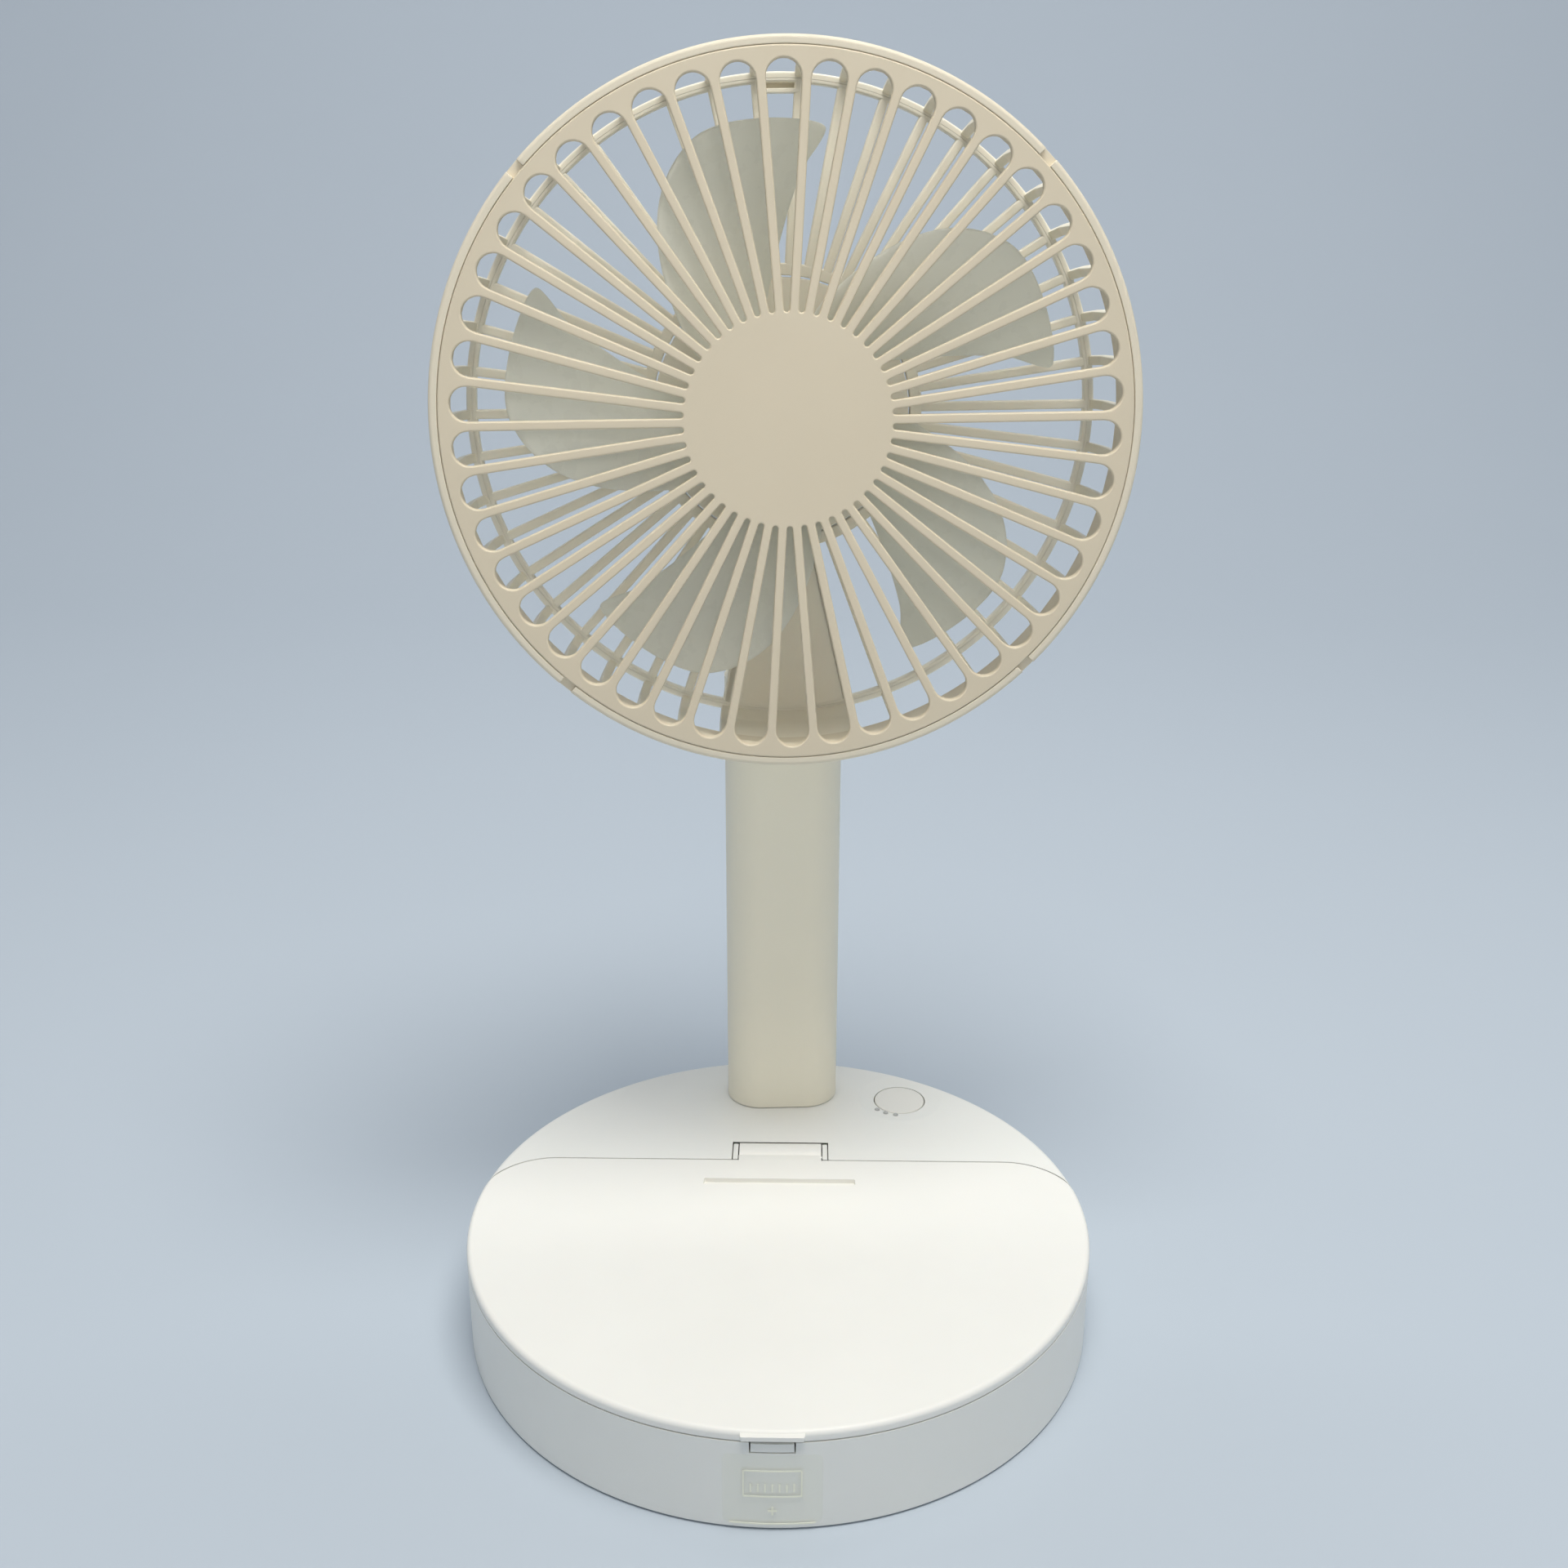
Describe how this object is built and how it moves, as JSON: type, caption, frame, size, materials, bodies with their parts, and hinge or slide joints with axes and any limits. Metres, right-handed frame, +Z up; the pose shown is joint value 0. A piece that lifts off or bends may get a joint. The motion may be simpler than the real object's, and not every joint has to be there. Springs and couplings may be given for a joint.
{
  "type": "desk fan",
  "caption": "Small desk fan with a round drum base and hinged front lid, a flat upright pole that swivels, and a round caged head that tilts.",
  "frame": {"origin": "on the surface the fan stands on, under the middle of the round base", "axes": "+Z up, -Y towards the front of the base (its lid and latch), +X to the right when the fan is faced"},
  "size_m": [0.1614, 0.1609, 0.3095],
  "materials": {
    "cream_shell": "fine satin moulded plastic",
    "grille_cream": "fine satin moulded plastic",
    "clear_white": "translucent white plastic",
    "white_nylon": "natural nylon",
    "steel": "zinc-plated steel",
    "grey_rubber": "soft non-slip rubber",
    "cell_wrap": "shrink-wrapped cell",
    "board_green": "solder-masked board",
    "black_plastic": "black moulded plastic",
    "clear_film": "clear film"
  },
  "bodies": {
    "base": {"base_housing": "cream_shell", "bottom_cover": "cream_shell", "ballast_plate": "steel", "battery_left": "cell_wrap", "battery_right": "cell_wrap", "control_board": "board_green", "tact_switch": "black_plastic", "charging_port": "steel", "hinge_cradle": "cream_shell", "hinge_pin": "steel", "front_label": "clear_film", "swivel_washer": "white_nylon", "cover_screw_1": "steel", "rubber_foot_1": "grey_rubber", "cover_screw_2": "steel", "rubber_foot_2": "grey_rubber", "cover_screw_3": "steel", "rubber_foot_3": "grey_rubber", "cover_screw_4": "steel", "rubber_foot_4": "grey_rubber", "indicator_light_1": "white_nylon", "indicator_light_2": "white_nylon", "indicator_light_3": "white_nylon"},
    "pole": {"pole_front_shell": "cream_shell", "pole_rear_shell": "cream_shell", "pole_screw_1": "steel", "pole_screw_2": "steel", "swivel_spindle": "white_nylon", "swivel_nut": "steel", "power_lead": "black_plastic", "tilt_pin": "steel"},
    "head": {"front_grille": "grille_cream", "head_rim": "cream_shell", "rear_guard": "cream_shell", "motor_cup": "cream_shell", "tilt_arm": "cream_shell", "motor": "steel", "motor_screw_1": "steel", "motor_screw_2": "steel", "tilt_washer_left": "white_nylon", "tilt_washer_right": "white_nylon"},
    "rotor": {"fan_rotor": "clear_white", "motor_shaft": "steel"},
    "lid": {"lid": "cream_shell"},
    "latch": {"latch_button": "cream_shell"},
    "power": {"power_button": "cream_shell"}
  },
  "joints": [
    {"name": "swivel", "type": "hinge", "parent": "base", "child": "pole", "pos_m": [0, 0.0626, 0.0272], "axis": [0, 0, 1], "range_deg": [-48, 42]},
    {"name": "head_tilt", "type": "hinge", "parent": "pole", "child": "head", "pos_m": [0, 0.0626, 0.146], "axis": [-0.9986, -0.0523, 0], "range_deg": [-19, 26]},
    {"name": "rotor_spin", "type": "hinge", "parent": "head", "child": "rotor", "pos_m": [-0.00146, 0.06804, 0.22574], "axis": [0.0522, -0.9963, 0.0689], "continuous": true},
    {"name": "lid_hinge", "type": "hinge", "parent": "base", "child": "lid", "pos_m": [0, 0.0327, 0.0228], "axis": [-1, 0, 0], "range_deg": [0, 60]},
    {"name": "latch_press", "type": "slide", "parent": "base", "child": "latch", "axis": [0, 1, 0], "range_m": [0, 0.0014], "stiffness_N_per_m": 400, "springref_m": -0.0015},
    {"name": "power_press", "type": "slide", "parent": "base", "child": "power", "axis": [0, 0, -1], "range_m": [0, 0.0008], "stiffness_N_per_m": 500, "springref_m": -0.0015}
  ]
}
